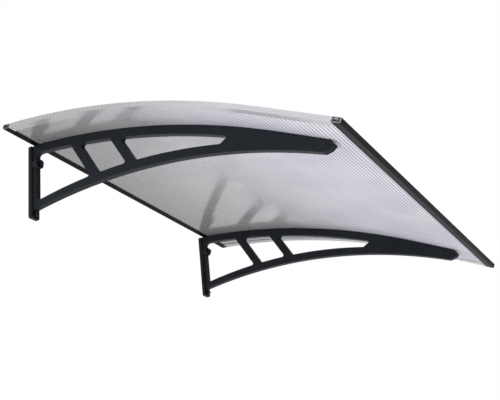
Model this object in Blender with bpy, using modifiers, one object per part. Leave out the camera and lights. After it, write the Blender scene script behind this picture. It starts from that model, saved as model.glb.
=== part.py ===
"""Polycarbonate door canopy: two moulded brackets, a bent twin-wall sheet and its profiles.

The wall is the plane Y = 0 and the canopy reaches out to -Y. Z is up, X runs along the wall.
The origin is on the wall, midway between the brackets, level with the middle of the sheet.
Shapes are drawn as sections in (reach, height): reach is the distance out from the wall.
"""

import math

import bmesh
import bpy
from mathutils import Matrix

GAP = 0.0003

# Roof line: the middle of the sheet, an arc from the wall and then straight to the front
ROOF_RADIUS = 2.024
WALL_PITCH = math.radians(7.0)
ARC_LENGTH = 0.760
BAND_STEP = 0.030

# Sheet
SHEET_WIDTH = 1.012
SHEET_THICKNESS = 0.008
SHEET_SKIN = 0.0008
RIB_THICKNESS = 0.0006
CELL_PITCH = 0.0115

# Profiles that hold the sheet's rear and front ends
PROFILE_WALL = 0.0018
REAR_START = 0.0115
REAR_DEPTH = 0.021
REAR_CORNER = 0.0045
FRONT_START = 0.9415
FRONT_DEPTH = 0.0215
FRONT_CORNER = 0.0012
SCREW_PORT_OUTER = 0.0031
SCREW_PORT_INNER = 0.0018
SCREW_PORT_BITE = 0.0008
SCREW_PORT_MOUTH = math.radians(48)
SHEET_END_CLEARANCE = 0.0010

# Clear edge trims
TRIM_WALL = 0.0015
TRIM_LIP = 0.020

# Brackets
BRACKET_SPACING = 0.785
BRACKET_WIDTH = 0.0165
BRACKET_EDGE = 0.0011
BRACKET_LENGTH = 0.8830
POST_DEPTH = 0.0206
TOP_CHORD = 0.023
FLANGE_WIDTH = 0.030
FLANGE_THICKNESS = 0.0105
FLANGE_TOP = -0.0095
FLANGE_BOTTOM = -0.2118
FLANGE_CORNER = 0.005
LOWER_OUTER_RADIUS = 1.476
LOWER_OUTER_CROWN = (0.184, -0.1791)
LOWER_INNER_RADIUS = 1.356
LOWER_INNER_CROWN = (0.200, -0.1569)
STRUT_LEVEL = -0.114
STRUT_REACHES = (0.1835, 0.2916)
STRUT_WIDTH = 0.0226
STRUT_LEAN = math.radians(28.9)
WINDOW_END_REACH = 0.5770
WINDOW_END_LEVEL = -0.2007
WINDOW_END_LEAN = math.radians(-63.6)
POST_FILLET = 0.010
WINDOW_FILLET = 0.005
NOSE = (0.0162, 0.0081)
CHIN = (0.0103, 0.0206)
NOSE_FILLET = 0.0025
CHIN_FILLET = 0.010
LOWER_END = 0.0165

# Wall bolts
BOLT_UPPER_LEVEL = -0.0604
BOLT_LOWER_LEVEL = -0.1998
BOLT_RADIUS = 0.0040
BOLT_HEAD_RADIUS = 0.0075
BOLT_HEAD_HEIGHT = 0.0055
BOLT_HEAD_CHAMFER = 0.0006
BOLT_SHANK_BITE = 0.001
BOSS_RADIUS = 0.0135
BOSS_FRONT = 0.0262
BOLT_WASHER_RADIUS = 0.0100
BOLT_WASHER_THICKNESS = 0.0016

# Sheet screws
SCREW_CELLS = (2, 20, 38, 56, 74)
SCREW_RADIUS = 0.0018
SCREW_DEPTH = 0.020
SCREW_HEAD_RADIUS = 0.0046
SCREW_HEAD_HEIGHT = 0.0032
SCREW_HEAD_CROWN = (0.0025, 0.0029)
SCREW_HEAD_SHOULDER = (0.0040, 0.0019)
SEAL_WASHER_RADIUS = 0.0080
SEAL_WASHER_THICKNESS = 0.0020
SEAL_WASHER_SHOULDER = (0.0077, 0.0012)
SHEET_HOLE_RADIUS = 0.0027

# How far a cutter runs past the solid it cuts, and the sides of the round shapes
OVERRUN = 0.010
BOSS_SIDES = 28
ROUND_SIDES = 20
SMALL_ROUND_SIDES = 16
SMALL_BORE_SIDES = 12

# Lengths that follow from the ones above
HALF_SHEET = SHEET_THICKNESS / 2
PROFILE_HEIGHT = SHEET_THICKNESS + 2 * (GAP + PROFILE_WALL)
PROFILE_LENGTH = SHEET_WIDTH + 2 * (GAP + TRIM_WALL)
PORT_SPACE = PROFILE_WALL + 2 * SCREW_PORT_OUTER - SCREW_PORT_BITE + SHEET_END_CLEARANCE
SHEET_START = REAR_START + PORT_SPACE
SHEET_END = FRONT_START + FRONT_DEPTH - PORT_SPACE
CELL_COUNT = round((SHEET_END - SHEET_START - RIB_THICKNESS) / CELL_PITCH)
CELL_LENGTH = (SHEET_END - SHEET_START - RIB_THICKNESS) / CELL_COUNT
BRACKET_TOP_LIFT = -HALF_SHEET - GAP
ARC_END_ANGLE = WALL_PITCH + ARC_LENGTH / ROOF_RADIUS

# Local x of a drawn section is reach, local y is height, and its thickness lies along X
SIDE_VIEW = Matrix(((0, 0, -1, 0), (-1, 0, 0, 0), (0, 1, 0, 0), (0, 0, 0, 1)))
# Local x of a drawn section is X, local y is height, and its thickness lies along Y
FRONT_VIEW = Matrix(((1, 0, 0, 0), (0, 0, -1, 0), (0, 1, 0, 0), (0, 0, 0, 1)))


def clear_scene():
    for old in list(bpy.data.objects):
        bpy.data.objects.remove(old, do_unlink=True)


def new_collection(name):
    collection = bpy.data.collections.new(name)
    bpy.context.scene.collection.children.link(collection)
    return collection


def material(name, colour, roughness, metallic=0.0, alpha=1.0, transmission=0.0):
    made = bpy.data.materials.new(name)
    made.use_nodes = True
    shader = made.node_tree.nodes["Principled BSDF"]
    shader.inputs["Base Color"].default_value = (*colour, 1.0)
    shader.inputs["Roughness"].default_value = roughness
    shader.inputs["Metallic"].default_value = metallic
    shader.inputs["Alpha"].default_value = alpha
    shader.inputs["Transmission Weight"].default_value = transmission
    made.diffuse_color = (*colour, alpha)
    return made


def slope_at(distance):
    """Angle below level of the roof line, at a distance from the wall measured along it."""
    return WALL_PITCH + min(distance, ARC_LENGTH) / ROOF_RADIUS


def roof_point(distance, lift=0.0):
    """(reach, height) at a distance along the roof line, lifted square to it."""
    angle = slope_at(distance)
    straight = max(distance - ARC_LENGTH, 0.0)
    reach = (ROOF_RADIUS + lift) * math.sin(angle) - ROOF_RADIUS * math.sin(WALL_PITCH)
    height = (ROOF_RADIUS + lift) * math.cos(angle) - ROOF_RADIUS * math.cos(WALL_PITCH)
    return reach + straight * math.cos(angle), height - straight * math.sin(angle)


def roof_height(reach, lift=0.0):
    """Height of the lifted roof line at a reach."""
    end_reach, end_height = roof_point(ARC_LENGTH, lift)
    if reach > end_reach:
        return end_height - (reach - end_reach) * math.tan(ARC_END_ANGLE)
    offset = reach + ROOF_RADIUS * math.sin(WALL_PITCH)
    return math.sqrt((ROOF_RADIUS + lift) ** 2 - offset**2) - ROOF_RADIUS * math.cos(WALL_PITCH)


def arch_height(reach, radius, crown):
    """Height of an arc that peaks at crown."""
    return crown[1] - radius + math.sqrt(radius**2 - (reach - crown[0]) ** 2)


def top_chord_under(reach):
    return roof_height(reach, BRACKET_TOP_LIFT - TOP_CHORD)


def lower_chord_over(reach):
    return arch_height(reach, LOWER_INNER_RADIUS, LOWER_INNER_CROWN)


def lower_chord_under(reach):
    return arch_height(reach, LOWER_OUTER_RADIUS, LOWER_OUTER_CROWN)


def meet(line, curve):
    """(reach, height) where line, which gives reach from height, meets curve."""
    low, high = -0.5, 0.2
    for _ in range(50):
        middle = (low + high) / 2
        if middle < curve(line(middle)):
            low = middle
        else:
            high = middle
    return line(low), low


def between(start, end, curve, step=0.035):
    """Points on curve strictly between two reaches."""
    count = max(int(abs(end - start) / step), 1)
    reaches = [start + (end - start) * i / count for i in range(1, count)]
    return [(reach, curve(reach)) for reach in reaches]


def rounded(corners, steps=5):
    """Points of a closed outline, where a corner given as (x, y, radius) becomes an arc."""
    points = []
    for i, corner in enumerate(corners):
        if len(corner) == 2:
            points.append(corner)
            continue
        x, y, radius = corner
        before = corners[i - 1]
        after = corners[(i + 1) % len(corners)]
        back = math.atan2(before[1] - y, before[0] - x)
        ahead = math.atan2(after[1] - y, after[0] - x)
        opening = (ahead - back + math.pi) % (2 * math.pi) - math.pi
        middle = back + opening / 2
        reach_in = radius / math.sin(abs(opening) / 2)
        centre = (x + reach_in * math.cos(middle), y + reach_in * math.sin(middle))
        turn = math.copysign(math.pi - abs(opening), -opening)
        start = middle + math.pi - turn / 2
        for k in range(steps + 1):
            angle = start + turn * k / steps
            points.append((centre[0] + radius * math.cos(angle), centre[1] + radius * math.sin(angle)))
    return points


def baked(source, name):
    """A mesh from the evaluated source object, with its caps welded and its faces turned out."""
    bpy.context.view_layer.update()
    graph = bpy.context.evaluated_depsgraph_get()
    mesh = bpy.data.meshes.new_from_object(source.evaluated_get(graph))
    mesh.name = name
    shape = bmesh.new()
    shape.from_mesh(mesh)
    bmesh.ops.remove_doubles(shape, verts=shape.verts, dist=1e-6)
    bmesh.ops.recalc_face_normals(shape, faces=shape.faces)
    shape.to_mesh(mesh)
    shape.free()
    return mesh


def place(name, mesh, collection, finish, matrix=None):
    obj = bpy.data.objects.new(name, mesh)
    collection.objects.link(obj)
    if matrix is not None:
        obj.matrix_world = matrix
    if not mesh.materials:
        mesh.materials.append(finish)
    mesh.shade_smooth()
    mesh.set_sharp_from_angle(angle=math.radians(32))
    return obj


def extruded(name, loops, start, end, collection, finish, view=SIDE_VIEW, edge=0.0):
    """A solid of a flat outline with its holes, from start to end along the view's depth axis."""
    curve = bpy.data.curves.new(name, "CURVE")
    curve.dimensions = "2D"
    curve.fill_mode = "BOTH"
    curve.extrude = abs(end - start) / 2 - edge
    curve.bevel_depth = edge
    curve.bevel_resolution = 1
    curve.offset = -edge
    for loop in loops:
        spline = curve.splines.new("POLY")
        spline.points.add(len(loop) - 1)
        for point, (x, y) in zip(spline.points, loop):
            point.co = (x, y, 0.0, 1.0)
        spline.use_cyclic_u = True
    drawing = bpy.data.objects.new(name + "_drawing", curve)
    collection.objects.link(drawing)
    mesh = baked(drawing, name)
    bpy.data.objects.remove(drawing)
    bpy.data.curves.remove(curve)
    middle = (start + end) / 2
    along = (middle, 0.0, 0.0) if view is SIDE_VIEW else (0.0, -middle, 0.0)
    return place(name, mesh, collection, finish, Matrix.Translation(along) @ view)


def turned(name, outline, steps, collection):
    """A mesh turned about Z from an outline of (radius, height) points."""
    mesh = bpy.data.meshes.new(name)
    count = len(outline)
    closed = outline[0][0] > 0
    edges = [(i, (i + 1) % count) for i in range(count if closed else count - 1)]
    mesh.from_pydata([(radius, 0.0, height) for radius, height in outline], edges, [])
    blank = bpy.data.objects.new(name + "_blank", mesh)
    collection.objects.link(blank)
    screw = blank.modifiers.new("Turn", "SCREW")
    screw.steps = steps
    screw.render_steps = steps
    screw.use_merge_vertices = True
    screw.merge_threshold = 0.00001
    turned_mesh = baked(blank, name)
    bpy.data.objects.remove(blank)
    bpy.data.meshes.remove(mesh)
    return turned_mesh


def cylinder(name, radius, depth, segments, collection, finish, matrix):
    """A cylinder whose axis is local Z, from its foot at the matrix's origin."""
    mesh = bpy.data.meshes.new(name)
    shape = bmesh.new()
    bmesh.ops.create_cone(
        shape,
        cap_ends=True,
        segments=segments,
        radius1=radius,
        radius2=radius,
        depth=depth,
        matrix=Matrix.Translation((0, 0, depth / 2)),
    )
    shape.to_mesh(mesh)
    shape.free()
    return place(name, mesh, collection, finish, matrix)


def hide(obj):
    obj.hide_render = True
    obj.display_type = "WIRE"


def boolean(target, tool, operation):
    modifier = target.modifiers.new(tool.name, "BOOLEAN")
    modifier.operation = operation
    modifier.solver = "EXACT"
    modifier.object = tool
    hide(tool)


def out_of_wall(x, level, reach=0.0):
    """Local Z points out of the wall."""
    return Matrix.Translation((x, -reach, level)) @ Matrix.Rotation(math.radians(90), 4, "X")


def square_to_roof(x, distance, lift):
    """Local Z points up, square to the roof line."""
    reach, height = roof_point(distance, lift)
    return Matrix.Translation((x, -reach, height)) @ Matrix.Rotation(slope_at(distance), 4, "X")


def roof_band(start, end, low, high):
    """Outline of a strip that follows the roof line, between two lifts."""
    count = max(round((end - start) / BAND_STEP), 1)
    distances = [start + (end - start) * i / count for i in range(count + 1)]
    below = [roof_point(distance, low) for distance in distances]
    above = [roof_point(distance, high) for distance in reversed(distances)]
    return below + above


def screw_distance(cell):
    return SHEET_START + RIB_THICKNESS / 2 + (cell + 0.5) * CELL_LENGTH


def strut_face(reach, side):
    """Line of a strut's wall side (-1) or outer side (1): reach from height."""
    half = side * STRUT_WIDTH / 2 / math.cos(STRUT_LEAN)
    return lambda height: reach + half - (height - STRUT_LEVEL) * math.tan(STRUT_LEAN)


def window(back, front, back_fillet, front_fillet):
    """A bracket opening between two lines, under the top chord and over the lower one."""
    top_back = meet(back, top_chord_under)
    top_front = meet(front, top_chord_under)
    low_front = meet(front, lower_chord_over)
    low_back = meet(back, lower_chord_over)
    corners = [(*low_back, back_fillet)]
    corners += between(low_back[0], low_front[0], lower_chord_over)
    corners += [(*low_front, front_fillet), (*top_front, front_fillet)]
    corners += between(top_front[0], top_back[0], top_chord_under)
    corners.append((*top_back, back_fillet))
    return rounded(corners)


def bracket_windows():
    first, second = STRUT_REACHES
    return [
        window(lambda height: POST_DEPTH, strut_face(first, -1), POST_FILLET, WINDOW_FILLET),
        window(strut_face(first, 1), strut_face(second, -1), WINDOW_FILLET, WINDOW_FILLET),
        window(
            strut_face(second, 1),
            lambda height: WINDOW_END_REACH
            - (height - WINDOW_END_LEVEL) * math.tan(WINDOW_END_LEAN),
            WINDOW_FILLET,
            WINDOW_FILLET - BRACKET_EDGE / 2,
        ),
    ]


def bracket_outline():
    """Side view of a bracket without its wall flange."""
    inside = FLANGE_THICKNESS / 4
    notch_lift = -PROFILE_HEIGHT / 2 - GAP
    notch_end = REAR_START + REAR_DEPTH + 2 * GAP
    tip = roof_point(BRACKET_LENGTH, BRACKET_TOP_LIFT)
    nose = roof_point(BRACKET_LENGTH + NOSE[0], BRACKET_TOP_LIFT - NOSE[1])
    chin = roof_point(BRACKET_LENGTH + CHIN[0], BRACKET_TOP_LIFT - CHIN[1])
    heel = tip[0] - LOWER_END
    corners = [(inside, lower_chord_under(inside))]
    corners += between(inside, heel, lower_chord_under)
    corners += [(heel, lower_chord_under(heel)), (*chin, CHIN_FILLET), (*nose, NOSE_FILLET), tip]
    count = round((BRACKET_LENGTH - notch_end) / BAND_STEP)
    for i in range(1, count + 1):
        distance = BRACKET_LENGTH + (notch_end - BRACKET_LENGTH) * i / count
        corners.append(roof_point(distance, BRACKET_TOP_LIFT))
    corners.append(roof_point(notch_end, notch_lift))
    corners.append(roof_point(FLANGE_THICKNESS, notch_lift))
    corners.append((inside, FLANGE_TOP - inside))
    return rounded(corners)


def flange_outline(x):
    half = FLANGE_WIDTH / 2
    return rounded(
        [
            (x - half, FLANGE_BOTTOM, FLANGE_CORNER),
            (x + half, FLANGE_BOTTOM, FLANGE_CORNER),
            (x + half, FLANGE_TOP, FLANGE_CORNER / 2),
            (x - half, FLANGE_TOP, FLANGE_CORNER / 2),
        ]
    )


def make_bracket(side, x, parts, cutters, finish):
    name = "bracket_" + side
    half = BRACKET_WIDTH / 2
    bracket = extruded(
        name,
        [bracket_outline(), *bracket_windows()],
        x - half,
        x + half,
        parts,
        finish,
        edge=BRACKET_EDGE,
    )
    flange = extruded(
        name + "_flange",
        [flange_outline(x)],
        0.0,
        FLANGE_THICKNESS,
        cutters,
        finish,
        FRONT_VIEW,
        BRACKET_EDGE,
    )
    boolean(bracket, flange, "UNION")
    boss_foot = FLANGE_THICKNESS / 2
    boss = cylinder(
        name + "_boss",
        BOSS_RADIUS,
        BOSS_FRONT - boss_foot,
        BOSS_SIDES,
        cutters,
        finish,
        out_of_wall(x, BOLT_UPPER_LEVEL, boss_foot),
    )
    boolean(bracket, boss, "UNION")
    for place_name, level in (("upper", BOLT_UPPER_LEVEL), ("lower", BOLT_LOWER_LEVEL)):
        hole = cylinder(
            f"{name}_hole_{place_name}",
            BOLT_RADIUS + GAP,
            BOSS_FRONT + 2 * OVERRUN,
            ROUND_SIDES,
            cutters,
            finish,
            out_of_wall(x, level, -OVERRUN),
        )
        boolean(bracket, hole, "DIFFERENCE")
    for number, cell in enumerate(SCREW_CELLS, 1):
        pilot = cylinder(
            f"{name}_pilot_{number}",
            SCREW_RADIUS + GAP,
            SCREW_DEPTH + GAP + OVERRUN,
            SMALL_BORE_SIDES,
            cutters,
            finish,
            square_to_roof(x, screw_distance(cell), BRACKET_TOP_LIFT - SCREW_DEPTH - GAP),
        )
        boolean(bracket, pilot, "DIFFERENCE")
    return bracket


def make_sheet(parts, cutters, finish):
    """Twin-wall sheet, whose cells run along X from one side edge to the other."""
    distances = [SHEET_START + RIB_THICKNESS / 2 + CELL_LENGTH * i for i in range(CELL_COUNT + 1)]
    distances[0] = SHEET_START
    distances[-1] = SHEET_END
    outline = [roof_point(distance, -HALF_SHEET) for distance in distances]
    outline += [roof_point(distance, HALF_SHEET) for distance in reversed(distances)]
    inner = HALF_SHEET - SHEET_SKIN
    loops = [outline]
    for i in range(CELL_COUNT):
        start = SHEET_START + CELL_LENGTH * i + RIB_THICKNESS
        end = SHEET_START + CELL_LENGTH * (i + 1)
        corners = ((start, -inner), (end, -inner), (end, inner), (start, inner))
        loops.append([roof_point(*corner) for corner in corners])
    half = SHEET_WIDTH / 2
    sheet = extruded("roof_sheet", loops, -half, half, parts, finish)
    for side, x in bracket_places():
        for number, cell in enumerate(SCREW_CELLS, 1):
            hole = cylinder(
                f"sheet_hole_{side}_{number}",
                SHEET_HOLE_RADIUS,
                SHEET_THICKNESS + 2 * OVERRUN,
                SMALL_BORE_SIDES,
                cutters,
                finish,
                square_to_roof(x, screw_distance(cell), -HALF_SHEET - OVERRUN),
            )
            boolean(sheet, hole, "DIFFERENCE")
    return sheet


def profile_outline(depth, corner):
    """Channel with its mouth at 0 and its back at depth, and an open screw port on the back."""
    high = PROFILE_HEIGHT / 2
    inner = high - PROFILE_WALL
    back = depth - PROFILE_WALL
    centre = back - SCREW_PORT_OUTER + SCREW_PORT_BITE
    root = math.acos((SCREW_PORT_OUTER - SCREW_PORT_BITE) / SCREW_PORT_OUTER)
    lip = math.pi - SCREW_PORT_MOUTH
    port = []
    for radius, start, end in (
        (SCREW_PORT_OUTER, root, lip),
        (SCREW_PORT_INNER, lip, -lip),
        (SCREW_PORT_OUTER, -lip, -root),
    ):
        for i in range(9):
            angle = start + (end - start) * i / 8
            port.append((centre + radius * math.cos(angle), radius * math.sin(angle)))
    corners = [(0.0, -high), (depth, -high, corner), (depth, high, corner), (0.0, high)]
    return rounded(corners) + [(0.0, inner), (back, inner)] + port + [(back, -inner), (0.0, -inner)]


def along_roof(points, distance, direction):
    """Carries a flat outline to the roof line, mouth first, straight along its slope there."""
    reach, height = roof_point(distance)
    angle = slope_at(distance)
    placed = []
    for along, lift in points:
        run = direction * along
        placed.append(
            (
                reach + run * math.cos(angle) + lift * math.sin(angle),
                height - run * math.sin(angle) + lift * math.cos(angle),
            )
        )
    return placed


def make_profiles(parts, finish):
    half = PROFILE_LENGTH / 2
    rear = along_roof(profile_outline(REAR_DEPTH, REAR_CORNER), REAR_START + REAR_DEPTH, -1)
    extruded("rear_profile", [rear], -half, half, parts, finish)
    front = along_roof(profile_outline(FRONT_DEPTH, FRONT_CORNER), FRONT_START, 1)
    extruded("front_profile", [front], -half, half, parts, finish)


def make_edge_trims(parts, cutters, finish):
    """Clear channels over the sheet's open cell ends, from one profile to the other."""
    start = REAR_START + REAR_DEPTH + GAP
    end = FRONT_START - GAP
    inner = HALF_SHEET + GAP
    outer = inner + TRIM_WALL
    edge = SHEET_WIDTH / 2
    for side, sign in (("left", -1), ("right", 1)):
        trim = extruded(
            "edge_trim_" + side,
            [roof_band(start, end, -outer, outer)],
            sign * (edge - TRIM_LIP),
            sign * (edge + GAP + TRIM_WALL),
            parts,
            finish,
        )
        slot = extruded(
            "edge_trim_slot_" + side,
            [roof_band(start - OVERRUN, end + OVERRUN, -inner, inner)],
            sign * (edge - TRIM_LIP - OVERRUN),
            sign * (edge + GAP),
            cutters,
            finish,
        )
        boolean(trim, slot, "DIFFERENCE")


def bolt_mesh(seat, parts, cutters, finish):
    """Hexagon head and shank, with the seat at Z = 0 and the shank down to the wall plane."""
    head = cylinder("bolt_head", BOLT_HEAD_RADIUS, BOLT_HEAD_HEIGHT, 6, parts, finish, Matrix())
    bevel = head.modifiers.new("Chamfer", "BEVEL")
    bevel.width = BOLT_HEAD_CHAMFER
    bevel.segments = 1
    shank = cylinder(
        "bolt_shank",
        BOLT_RADIUS,
        seat + BOLT_SHANK_BITE,
        ROUND_SIDES,
        cutters,
        finish,
        Matrix.Translation((0, 0, -seat)),
    )
    boolean(head, shank, "UNION")
    mesh = baked(head, "wall_bolt")
    bpy.data.objects.remove(head)
    bpy.data.objects.remove(shank)
    return mesh


def make_wall_bolts(parts, cutters, finish):
    washer = turned(
        "wall_washer",
        [
            (BOLT_RADIUS + GAP, 0.0),
            (BOLT_WASHER_RADIUS, 0.0),
            (BOLT_WASHER_RADIUS, BOLT_WASHER_THICKNESS),
            (BOLT_RADIUS + GAP, BOLT_WASHER_THICKNESS),
        ],
        ROUND_SIDES,
        cutters,
    )
    for place_name, level, face in (
        ("upper", BOLT_UPPER_LEVEL, BOSS_FRONT),
        ("lower", BOLT_LOWER_LEVEL, FLANGE_THICKNESS),
    ):
        washer_seat = face + GAP
        head_seat = washer_seat + BOLT_WASHER_THICKNESS + GAP
        bolt = bolt_mesh(head_seat, parts, cutters, finish)
        for side, x in bracket_places():
            tail = f"{side}_{place_name}"
            place("wall_washer_" + tail, washer, parts, finish, out_of_wall(x, level, washer_seat))
            place("wall_bolt_" + tail, bolt, parts, finish, out_of_wall(x, level, head_seat))


def make_sheet_screws(parts, cutters, steel, rubber):
    """Pan-head screws with sealing washers, through the sheet into each bracket."""
    seat = SEAL_WASHER_THICKNESS + 2 * GAP
    length = seat + SHEET_THICKNESS + GAP + SCREW_DEPTH
    screw = turned(
        "sheet_screw",
        [
            (0.0, SCREW_HEAD_HEIGHT),
            SCREW_HEAD_CROWN,
            SCREW_HEAD_SHOULDER,
            (SCREW_HEAD_RADIUS, 0.0),
            (SCREW_RADIUS, 0.0),
            (SCREW_RADIUS, -length + 2 * SCREW_RADIUS),
            (0.0, -length),
        ],
        SMALL_ROUND_SIDES,
        cutters,
    )
    washer = turned(
        "sheet_washer",
        [
            (SCREW_RADIUS + GAP, 0.0),
            (SEAL_WASHER_RADIUS, 0.0),
            SEAL_WASHER_SHOULDER,
            (SCREW_HEAD_RADIUS, SEAL_WASHER_THICKNESS),
            (SCREW_RADIUS + GAP, SEAL_WASHER_THICKNESS),
        ],
        SMALL_ROUND_SIDES,
        cutters,
    )
    for side, x in bracket_places():
        for number, cell in enumerate(SCREW_CELLS, 1):
            distance = screw_distance(cell)
            tail = f"{side}_{number}"
            washer_place = square_to_roof(x, distance, HALF_SHEET + GAP)
            screw_place = square_to_roof(x, distance, HALF_SHEET + seat)
            place("sheet_washer_" + tail, washer, parts, rubber, washer_place)
            place("sheet_screw_" + tail, screw, parts, steel, screw_place)


def bracket_places():
    return (("left", -BRACKET_SPACING / 2), ("right", BRACKET_SPACING / 2))


def main():
    clear_scene()
    parts = new_collection("door_canopy")
    cutters = new_collection("cutters")
    black_plastic = material("black moulded plastic", (0.012, 0.013, 0.015), 0.42)
    clear_sheet = material("twin wall polycarbonate", (0.80, 0.82, 0.86), 0.12, 0.0, 0.45, 0.6)
    grey_aluminium = material("grey coated aluminium", (0.055, 0.055, 0.058), 0.38, 0.35)
    clear_trim = material("clear trim", (0.86, 0.88, 0.90), 0.10, 0.0, 0.40, 0.7)
    black_rubber = material("black rubber", (0.010, 0.010, 0.010), 0.75)
    black_steel = material("black plated steel", (0.03, 0.03, 0.032), 0.35, 0.8)
    for side, x in bracket_places():
        make_bracket(side, x, parts, cutters, black_plastic)
    make_sheet(parts, cutters, clear_sheet)
    make_profiles(parts, grey_aluminium)
    make_edge_trims(parts, cutters, clear_trim)
    make_wall_bolts(parts, cutters, black_steel)
    make_sheet_screws(parts, cutters, black_steel, black_rubber)


main()
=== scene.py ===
import math

import bpy
from mathutils import Matrix, Vector

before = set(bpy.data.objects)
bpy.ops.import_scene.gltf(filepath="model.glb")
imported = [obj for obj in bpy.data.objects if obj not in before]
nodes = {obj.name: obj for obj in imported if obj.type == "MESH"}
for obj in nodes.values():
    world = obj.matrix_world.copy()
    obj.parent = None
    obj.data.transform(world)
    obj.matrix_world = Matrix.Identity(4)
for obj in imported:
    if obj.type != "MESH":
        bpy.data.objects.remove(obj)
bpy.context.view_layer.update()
print("frame loaded:", len(nodes), "nodes")


def linearColour(hexCode):
    channels = [int(hexCode[i:i + 2], 16) / 255 for i in (1, 3, 5)]
    linear = [c / 12.92 if c <= 0.04045 else ((c + 0.055) / 1.055) ** 2.4 for c in channels]
    return (*linear, 1.0)


# Settings go to the sockets or properties of that name, and links to the sockets by name or number.
# A Mix node takes its two numbers at sockets 2 and 3, and its two colours at 6 and 7
def addNode(tree, kind, settings=None, links=None):
    node = tree.nodes.new(kind)
    for name, value in (settings or {}).items():
        if isinstance(name, str) and name not in node.inputs:
            setattr(node, name, value)
        else:
            node.inputs[name].default_value = value
    for name, socket in (links or {}).items():
        tree.links.new(socket, node.inputs[name])
    return node


def newMaterial(name):
    made = bpy.data.materials.new(name)
    made.use_nodes = True
    tree = made.node_tree
    return made, tree, tree.nodes["Principled BSDF"]


def dress(nodeNames, material):
    for nodeName in nodeNames:
        obj = nodes[nodeName]
        obj.data.materials.clear()
        obj.data.materials.append(material)


# The roof line, as the sheet is bent: an arc from the wall and then straight to the front
roof = {
    "radius": 2.024,
    "wallPitch": math.radians(7.0),
    "arcLength": 0.760,
    "cellStart": 0.0200,  # m along the roof to the middle of the first rib
    "cellPitch": 0.011537,
}
roof["endPitch"] = roof["wallPitch"] + roof["arcLength"] / roof["radius"]


# Distance from the wall along the roof, worked out from the place of each shaded point
def roofRun(tree, place):
    radius = roof["radius"]
    pitch = roof["wallPitch"]
    endPitch = roof["endPitch"]
    split = addNode(tree, "ShaderNodeSeparateXYZ", {}, {0: place})
    out = addNode(
        tree,
        "ShaderNodeMath",
        {"operation": "SUBTRACT", 0: radius * math.sin(pitch)},
        {1: split.outputs["Y"]},
    )
    up = addNode(
        tree,
        "ShaderNodeMath",
        {"operation": "ADD", 1: radius * math.cos(pitch)},
        {0: split.outputs["Z"]},
    )
    angle = addNode(
        tree,
        "ShaderNodeMath",
        {"operation": "ARCTAN2"},
        {0: out.outputs[0], 1: up.outputs[0]},
    )
    arc = addNode(
        tree,
        "ShaderNodeMath",
        {"operation": "MULTIPLY_ADD", 1: radius, 2: -radius * pitch},
        {0: angle.outputs[0]},
    )
    outPart = addNode(
        tree,
        "ShaderNodeMath",
        {"operation": "MULTIPLY_ADD", 1: math.cos(endPitch), 2: roof["arcLength"]},
        {0: out.outputs[0]},
    )
    straight = addNode(
        tree,
        "ShaderNodeMath",
        {"operation": "MULTIPLY_ADD", 1: -math.sin(endPitch)},
        {0: up.outputs[0], 2: outPart.outputs[0]},
    )
    past = addNode(
        tree,
        "ShaderNodeMath",
        {"operation": "GREATER_THAN", 1: endPitch},
        {0: angle.outputs[0]},
    )
    run = addNode(
        tree,
        "ShaderNodeMix",
        {"data_type": "FLOAT"},
        {0: past.outputs[0], 2: arc.outputs[0], 3: straight.outputs[0]},
    )
    return run.outputs[0], split


# Glass-filled nylon, injection moulded in an eroded tool: near black, a soft satin with a fine grain
nylon = {
    "colours": ("#171A1E", "#1E2126"),
    "grainSize": 0.0009,  # m; the real grain of about 0.2 mm would not show
    "grainDepth": 0.0002,  # m
    "grainStrength": 0.15,
    "flowSize": 0.07,  # m; slow changes where the melt ran
    "roughness": (0.40, 0.52),
    "specular": 0.1,
}


def makeNylon():
    made, tree, shader = newMaterial("mouldedNylon")
    place = addNode(tree, "ShaderNodeTexCoord").outputs["Object"]
    grain = addNode(
        tree,
        "ShaderNodeTexNoise",
        {"Scale": 1 / nylon["grainSize"], "Detail": 2.0},
        {"Vector": place},
    )
    flow = addNode(
        tree,
        "ShaderNodeTexNoise",
        {"Scale": 1 / nylon["flowSize"], "Detail": 3.0},
        {"Vector": place},
    )
    low, high = nylon["roughness"]
    sheen = addNode(
        tree,
        "ShaderNodeMapRange",
        {"To Min": low, "To Max": high},
        {"Value": flow.outputs["Fac"]},
    )
    tone = addNode(tree, "ShaderNodeValToRGB", {}, {"Fac": flow.outputs["Fac"]})
    tone.color_ramp.elements[0].color = linearColour(nylon["colours"][0])
    tone.color_ramp.elements[1].color = linearColour(nylon["colours"][1])
    bump = addNode(
        tree,
        "ShaderNodeBump",
        {"Strength": nylon["grainStrength"], "Distance": nylon["grainDepth"]},
        {"Height": grain.outputs["Fac"]},
    )
    tree.links.new(tone.outputs["Color"], shader.inputs["Base Color"])
    tree.links.new(sheen.outputs["Result"], shader.inputs["Roughness"])
    tree.links.new(bump.outputs["Normal"], shader.inputs["Normal"])
    shader.inputs["Specular IOR Level"].default_value = nylon["specular"]
    return made


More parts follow.
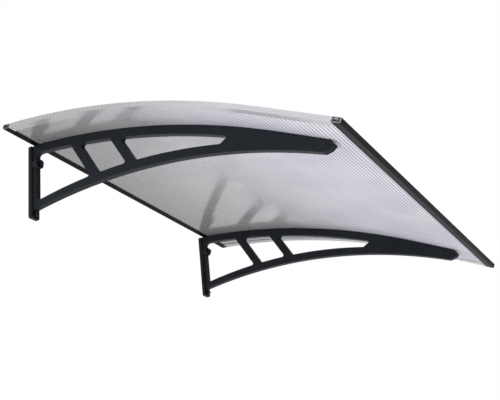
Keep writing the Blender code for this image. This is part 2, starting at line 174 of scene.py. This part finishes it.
# Polycarbonate, extruded twin-wall: clear but hazy, and hazier to the front, where the weather reaches it.
# Each rib pulls a shallow groove in the skins, and the die leaves faint lines along the cells
polycarbonate = {
    "tones": ("#D6D6D4", "#FCFCFE"),  # by the wall, and at the front: painted shade by the wall, painted light at the front
    "toneFade": (0.26, 0.72),  # m along the roof between those two
    "rib": "#9494AB",
    "ribShow": (0.3, 1.0),  # by the wall, and at the front
    "ribShare": 0.26,  # of a cell; drawn wider than the 0.6 mm rib, which would be lost
    "ribEdges": (1.5, 0.5),  # in half ribs from its middle: where it begins, and where it is full
    "groove": 0.00012,  # m; drawn deeper than the real sink mark
    "paintedWallShade": "#A0A0A0",  # painted shade: the sheet goes grey towards the wall, for the rear profile's shadow and reflection
    "paintedShadeFade": (0.0, 0.40),  # m along the roof to where it ends
    "cloud": "#F6F6FB",  # faint lavender patches, where the skins are not quite even
    "cloudSize": 0.11,  # m
    "cloudEdges": (0.42, 0.6),
    "ior": 1.585,
    "roughness": (0.11, 0.75),  # by the wall, and at the front
    "hazeFade": (0.28, 0.66),  # m along the roof between those two
    "dieMark": 0.04,  # roughness that the die's lines add
    "dieLines": (0.6, 420.0, 0.0),  # per m, along the cells and across; real ones are finer
    "transmission": 0.55,
}


# How far each point is from its rib, in cells, and a soft mask of the ribs
def ribPattern(tree, run):
    fromStart = addNode(
        tree,
        "ShaderNodeMath",
        {"operation": "SUBTRACT", 1: roof["cellStart"]},
        {0: run},
    )
    cells = addNode(
        tree,
        "ShaderNodeMath",
        {"operation": "DIVIDE", 1: roof["cellPitch"]},
        {0: fromStart.outputs[0]},
    )
    toRib = addNode(tree, "ShaderNodeMath", {"operation": "PINGPONG", 1: 0.5}, {0: cells.outputs[0]})
    halfRib = polycarbonate["ribShare"] / 2
    outer, inner = [halfRib * edge for edge in polycarbonate["ribEdges"]]
    rib = addNode(
        tree,
        "ShaderNodeMapRange",
        {"interpolation_type": "SMOOTHSTEP", "From Min": outer, "From Max": inner},
        {"Value": toRib.outputs[0]},
    )
    return rib, toRib


# From 0 by the wall to 1 at the front, for what changes along the roof
def frontFade(tree, run):
    near, far = polycarbonate["toneFade"]
    fade = addNode(
        tree,
        "ShaderNodeMapRange",
        {"interpolation_type": "SMOOTHSTEP", "From Min": near, "From Max": far},
        {"Value": run},
    )
    return fade.outputs["Result"]


def makePolycarbonate():
    made, tree, shader = newMaterial("clearPolycarbonate")
    place = addNode(tree, "ShaderNodeTexCoord").outputs["Object"]
    run, split = roofRun(tree, place)
    rib, toRib = ribPattern(tree, run)
    fade = frontFade(tree, run)

    # haze, with the die's lines along the cells
    flat = addNode(tree, "ShaderNodeCombineXYZ", {}, {"X": split.outputs["X"], "Y": run})
    lineSpace = addNode(
        tree,
        "ShaderNodeVectorMath",
        {"operation": "MULTIPLY", 1: polycarbonate["dieLines"]},
        {0: flat.outputs[0]},
    )
    dieLines = addNode(
        tree,
        "ShaderNodeTexNoise",
        {"Scale": 1.0, "Detail": 3.0},
        {"Vector": lineSpace.outputs[0]},
    )
    near, far = polycarbonate["hazeFade"]
    low, high = polycarbonate["roughness"]
    haze = addNode(
        tree,
        "ShaderNodeMapRange",
        {
            "interpolation_type": "SMOOTHSTEP",
            "From Min": near,
            "From Max": far,
            "To Min": low,
            "To Max": high,
        },
        {"Value": run},
    )
    rough = addNode(
        tree,
        "ShaderNodeMath",
        {"operation": "MULTIPLY_ADD", 1: polycarbonate["dieMark"]},
        {0: dieLines.outputs["Fac"], 2: haze.outputs["Result"]},
    )

    # tone, with the ribs, the patches and painted shade by the wall
    # painted shade and light: the clear colour is darker by the wall and lighter towards the front
    wallTone, frontTone = polycarbonate["tones"]
    clear = addNode(
        tree,
        "ShaderNodeMix",
        {"data_type": "RGBA", 6: linearColour(wallTone), 7: linearColour(frontTone)},
        {0: fade},
    )
    low, high = polycarbonate["ribShow"]
    ribFade = addNode(tree, "ShaderNodeMapRange", {"To Min": low, "To Max": high}, {"Value": fade})
    ribShown = addNode(
        tree,
        "ShaderNodeMath",
        {"operation": "MULTIPLY"},
        {0: rib.outputs["Result"], 1: ribFade.outputs["Result"]},
    )
    ribbed = addNode(
        tree,
        "ShaderNodeMix",
        {"data_type": "RGBA", 7: linearColour(polycarbonate["rib"])},
        {0: ribShown.outputs[0], 6: clear.outputs[2]},
    )
    patch = addNode(
        tree,
        "ShaderNodeTexNoise",
        {"Scale": 1 / polycarbonate["cloudSize"], "Detail": 2.0},
        {"Vector": place},
    )
    low, high = polycarbonate["cloudEdges"]
    cloud = addNode(
        tree,
        "ShaderNodeMapRange",
        {"From Min": low, "From Max": high},
        {"Value": patch.outputs["Fac"]},
    )
    clouded = addNode(
        tree,
        "ShaderNodeMix",
        {"data_type": "RGBA", "blend_type": "MULTIPLY", 7: linearColour(polycarbonate["cloud"])},
        {0: cloud.outputs["Result"], 6: ribbed.outputs[2]},
    )
    # painted shade: grey by the wall, fading out 0.40 m along the roof, standing in for the rear profile's
    # shadow and reflection
    near, far = polycarbonate["paintedShadeFade"]
    unmarked = addNode(
        tree,
        "ShaderNodeMapRange",
        {"interpolation_type": "SMOOTHSTEP", "From Min": near, "From Max": far},
        {"Value": run},
    )
    tone = addNode(
        tree,
        "ShaderNodeMix",
        {"data_type": "RGBA", 6: linearColour(polycarbonate["paintedWallShade"])},
        {0: unmarked.outputs["Result"], 7: clouded.outputs[2]},
    )

    # sink marks: 0 over a rib, and 1 midway between two
    wave = addNode(tree, "ShaderNodeMath", {"operation": "MULTIPLY", 1: 2.0}, {0: toRib.outputs[0]})
    bump = addNode(
        tree,
        "ShaderNodeBump",
        {"Strength": 1.0, "Distance": polycarbonate["groove"]},
        {"Height": wave.outputs[0]},
    )
    tree.links.new(tone.outputs[2], shader.inputs["Base Color"])
    tree.links.new(rough.outputs[0], shader.inputs["Roughness"])
    tree.links.new(bump.outputs["Normal"], shader.inputs["Normal"])
    shader.inputs["IOR"].default_value = polycarbonate["ior"]
    shader.inputs["Transmission Weight"].default_value = polycarbonate["transmission"]
    return made


# Polycarbonate channel, extruded: clear and glossy, with the ribs of the sheet showing through it
channel = {
    "colours": ("#CCCCCC", "#DFDFE3"),  # by the wall, and at the front: painted shade by the wall, painted light at the front
    "ribShow": 0.35,  # the cell ends, seen through the channel, fainter to the front
    "hazeSize": 1 / 60,  # m, about 17 mm to a patch
    "roughness": (0.12, 0.22),
    "transmission": 0.55,
}


def makeChannel():
    made, tree, shader = newMaterial("clearChannel")
    place = addNode(tree, "ShaderNodeTexCoord").outputs["Object"]
    haze = addNode(
        tree,
        "ShaderNodeTexNoise",
        {"Scale": 1 / channel["hazeSize"], "Detail": 2.0},
        {"Vector": place},
    )
    low, high = channel["roughness"]
    rough = addNode(
        tree,
        "ShaderNodeMapRange",
        {"To Min": low, "To Max": high},
        {"Value": haze.outputs["Fac"]},
    )
    run = roofRun(tree, place)[0]
    fade = frontFade(tree, run)
    # painted shade and light: the channel is darker by the wall and lighter towards the front, as the
    # sheet is
    wallColour, frontColour = channel["colours"]
    clear = addNode(
        tree,
        "ShaderNodeMix",
        {"data_type": "RGBA", 6: linearColour(wallColour), 7: linearColour(frontColour)},
        {0: fade},
    )
    rib = ribPattern(tree, run)[0]
    ribFade = addNode(
        tree,
        "ShaderNodeMath",
        {"operation": "MULTIPLY_ADD", 1: -channel["ribShow"], 2: channel["ribShow"]},
        {0: fade},
    )
    ribShown = addNode(
        tree,
        "ShaderNodeMath",
        {"operation": "MULTIPLY"},
        {0: rib.outputs["Result"], 1: ribFade.outputs[0]},
    )
    tone = addNode(
        tree,
        "ShaderNodeMix",
        {"data_type": "RGBA", 7: linearColour(polycarbonate["rib"])},
        {0: ribShown.outputs[0], 6: clear.outputs[2]},
    )
    tree.links.new(tone.outputs[2], shader.inputs["Base Color"])
    tree.links.new(rough.outputs["Result"], shader.inputs["Roughness"])
    shader.inputs["IOR"].default_value = polycarbonate["ior"]
    shader.inputs["Transmission Weight"].default_value = channel["transmission"]
    return made


# Aluminium, extruded and powder coated: satin with a faint orange peel, bare where it is sawn
coating = {
    "front": {"colour": "#131417", "specular": 0.1},
    "rear": {"colour": "#070708", "specular": 0.03},  # black and duller
    "peelSize": 0.0015,  # m
    "peelDepth": 0.0002,  # m
    "peelStrength": 0.12,
    "roughness": 0.5,
    "cut": "#B9BBBE",
    "cutRoughness": 0.34,
    "cutFacing": 0.9,  # faces turned this far to either side are the sawn ends
}


def makeCoating(name, shade):
    made, tree, shader = newMaterial(name)
    coord = addNode(tree, "ShaderNodeTexCoord")
    peel = addNode(
        tree,
        "ShaderNodeTexNoise",
        {"Scale": 1 / coating["peelSize"], "Detail": 1.0},
        {"Vector": coord.outputs["Object"]},
    )
    facing = addNode(tree, "ShaderNodeSeparateXYZ", {}, {0: coord.outputs["Normal"]})
    sideways = addNode(tree, "ShaderNodeMath", {"operation": "ABSOLUTE"}, {0: facing.outputs["X"]})
    sawn = addNode(
        tree,
        "ShaderNodeMath",
        {"operation": "GREATER_THAN", 1: coating["cutFacing"]},
        {0: sideways.outputs[0]},
    )
    tone = addNode(
        tree,
        "ShaderNodeMix",
        {"data_type": "RGBA", 6: linearColour(shade["colour"]), 7: linearColour(coating["cut"])},
        {0: sawn.outputs[0]},
    )
    rough = addNode(
        tree,
        "ShaderNodeMix",
        {"data_type": "FLOAT", 2: coating["roughness"], 3: coating["cutRoughness"]},
        {0: sawn.outputs[0]},
    )
    bump = addNode(
        tree,
        "ShaderNodeBump",
        {"Strength": coating["peelStrength"], "Distance": coating["peelDepth"]},
        {"Height": peel.outputs["Fac"]},
    )
    tree.links.new(tone.outputs[2], shader.inputs["Base Color"])
    tree.links.new(rough.outputs[0], shader.inputs["Roughness"])
    tree.links.new(sawn.outputs[0], shader.inputs["Metallic"])
    tree.links.new(bump.outputs["Normal"], shader.inputs["Normal"])
    shader.inputs["Specular IOR Level"].default_value = shade["specular"]
    return made


# EPDM rubber, moulded washers: dull black with a dusty bloom
rubber = {
    "colours": ("#101010", "#1D1D1D"),
    "bloomSize": 0.004,  # m
    "roughness": 0.72,
}


def makeRubber():
    made, tree, shader = newMaterial("blackRubber")
    place = addNode(tree, "ShaderNodeTexCoord").outputs["Object"]
    bloom = addNode(
        tree,
        "ShaderNodeTexNoise",
        {"Scale": 1 / rubber["bloomSize"], "Detail": 2.0},
        {"Vector": place},
    )
    unmarked, dusty = rubber["colours"]
    tone = addNode(
        tree,
        "ShaderNodeMix",
        {"data_type": "RGBA", 6: linearColour(unmarked), 7: linearColour(dusty)},
        {0: bloom.outputs["Fac"]},
    )
    tree.links.new(tone.outputs[2], shader.inputs["Base Color"])
    shader.inputs["Roughness"].default_value = rubber["roughness"]
    return made


# Steel, black zinc plated: dark metal, slightly uneven where the passivation took
plating = {
    "colours": ("#2A2A2D", "#3B3B40"),
    "patchSize": 0.003,  # m
    "roughness": 0.36,
}


def makePlating():
    made, tree, shader = newMaterial("blackZincPlatedSteel")
    place = addNode(tree, "ShaderNodeTexCoord").outputs["Object"]
    patch = addNode(
        tree,
        "ShaderNodeTexNoise",
        {"Scale": 1 / plating["patchSize"], "Detail": 2.0},
        {"Vector": place},
    )
    dark, light = plating["colours"]
    tone = addNode(
        tree,
        "ShaderNodeMix",
        {"data_type": "RGBA", 6: linearColour(dark), 7: linearColour(light)},
        {0: patch.outputs["Fac"]},
    )
    tree.links.new(tone.outputs[2], shader.inputs["Base Color"])
    shader.inputs["Metallic"].default_value = 1.0
    shader.inputs["Roughness"].default_value = plating["roughness"]
    return made


washers = [name for name in nodes if name.startswith("sheet_washer")]
fasteners = [name for name in nodes if name.startswith(("sheet_screw", "wall_bolt", "wall_washer"))]
dress(["bracket_left", "bracket_right"], makeNylon())
dress(["roof_sheet"], makePolycarbonate())
dress(["edge_trim_left", "edge_trim_right"], makeChannel())
dress(["front_profile"], makeCoating("greyCoatedAluminium", coating["front"]))
dress(["rear_profile"], makeCoating("blackCoatedAluminium", coating["rear"]))
dress(washers, makeRubber())
dress(fasteners, makePlating())
print("materials set")

# The studio: white all round, with a pale floor well below the canopy
studio = {
    "floorLevel": -2.2,
    "floorSize": 60.0,
    "floorColour": "#E4E4E6",
    "floorRoughness": 0.9,
    "ambient": 1.25,
    "backdrop": (0.7, 0.7, 0.0),  # the white side of the studio, behind the canopy
    "backdropEdges": (0.1, 0.6),
    "darkSide": 0.4,  # what the other side gives to mirrored light
}
bpy.ops.mesh.primitive_plane_add(size=studio["floorSize"], location=(0, 0, studio["floorLevel"]))
floor = bpy.context.object
floor.name = "floor"
floorPaint, tree, shader = newMaterial("floorPaint")
shader.inputs["Base Color"].default_value = linearColour(studio["floorColour"])
shader.inputs["Roughness"].default_value = studio["floorRoughness"]
floor.data.materials.append(floorPaint)


# Full white straight to the camera and through the sheet, ambient light on surfaces, and in mirrored
# light a white side and a darker one
def makeWorld():
    world = bpy.data.worlds.new("studio")
    bpy.context.scene.world = world
    world.use_nodes = True
    tree = world.node_tree
    tree.nodes.clear()
    ray = addNode(tree, "ShaderNodeLightPath")
    direction = addNode(tree, "ShaderNodeTexCoord").outputs["Generated"]
    towards = addNode(
        tree,
        "ShaderNodeVectorMath",
        {"operation": "DOT_PRODUCT", 1: studio["backdrop"]},
        {0: direction},
    )
    low, high = studio["backdropEdges"]
    mirrored = addNode(
        tree,
        "ShaderNodeMapRange",
        {
            "interpolation_type": "SMOOTHSTEP",
            "From Min": low,
            "From Max": high,
            "To Min": studio["darkSide"],
        },
        {"Value": towards.outputs["Value"]},
    )
    seen = addNode(
        tree,
        "ShaderNodeMath",
        {"operation": "ADD", "use_clamp": True},
        {0: ray.outputs["Is Camera Ray"], 1: ray.outputs["Is Transmission Ray"]},
    )
    falling = addNode(
        tree,
        "ShaderNodeMix",
        {"data_type": "FLOAT", 2: studio["ambient"]},
        {0: ray.outputs["Is Glossy Ray"], 3: mirrored.outputs["Result"]},
    )
    strength = addNode(
        tree,
        "ShaderNodeMix",
        {"data_type": "FLOAT", 3: 1.0},
        {0: seen.outputs[0], 2: falling.outputs[0]},
    )
    light = addNode(
        tree,
        "ShaderNodeBackground",
        {"Color": (1, 1, 1, 1)},
        {"Strength": strength.outputs[0]},
    )
    addNode(tree, "ShaderNodeOutputWorld", {}, {"Surface": light.outputs[0]})


makeWorld()

lights = {
    "keyLight": {
        "size": (2.4, 1.6),
        "energy": 25.0,
        "place": (-2.6, -1.2, 2.4),
        "target": (0, -0.4, -0.1),
    },
    "fillLight": {  # low on the left, under the sheet
        "size": (0.8, 0.8),
        "energy": 15.0,
        "place": (-1.7, -0.2, -1.1),
        "target": (-0.45, -0.35, 0),
    },
}


def makeLight(name, look):
    lamp = bpy.data.lights.new(name, "AREA")
    lamp.shape = "RECTANGLE"
    lamp.size, lamp.size_y = look["size"]
    lamp.energy = look["energy"]
    obj = bpy.data.objects.new(name, lamp)
    bpy.context.scene.collection.objects.link(obj)
    obj.location = look["place"]
    aim = Vector(look["target"]) - Vector(look["place"])
    obj.rotation_euler = aim.to_track_quat("-Z", "Y").to_euler()


for name, look in lights.items():
    makeLight(name, look)
print("studio lit")

# Camera at the photograph's place, below the canopy and past its left front corner
cameraLook = {
    "place": (-1.8958, -1.4309, -1.1898),
    "right": (0.51089, -0.85459, -0.09307),
    "up": (-0.27899, -0.26724, 0.92236),
    "forward": (0.81311, 0.44526, 0.37495),
    "lens": 63.891,
    "sensor": 36,
    "shiftY": 0.12,
    "farthest": 100,
}
cameraData = bpy.data.cameras.new("camera")
camera = bpy.data.objects.new("camera", cameraData)
bpy.context.scene.collection.objects.link(camera)
cameraData.sensor_width = cameraLook["sensor"]
cameraData.lens = cameraLook["lens"]
cameraData.shift_y = cameraLook["shiftY"]
cameraData.clip_end = cameraLook["farthest"]
back = [-v for v in cameraLook["forward"]]
axes = Matrix((cameraLook["right"], cameraLook["up"], back)).transposed()
camera.matrix_world = Matrix.Translation(cameraLook["place"]) @ axes.to_4x4()
bpy.context.scene.camera = camera
bpy.context.scene.view_settings.view_transform = "Standard"
print("camera set")
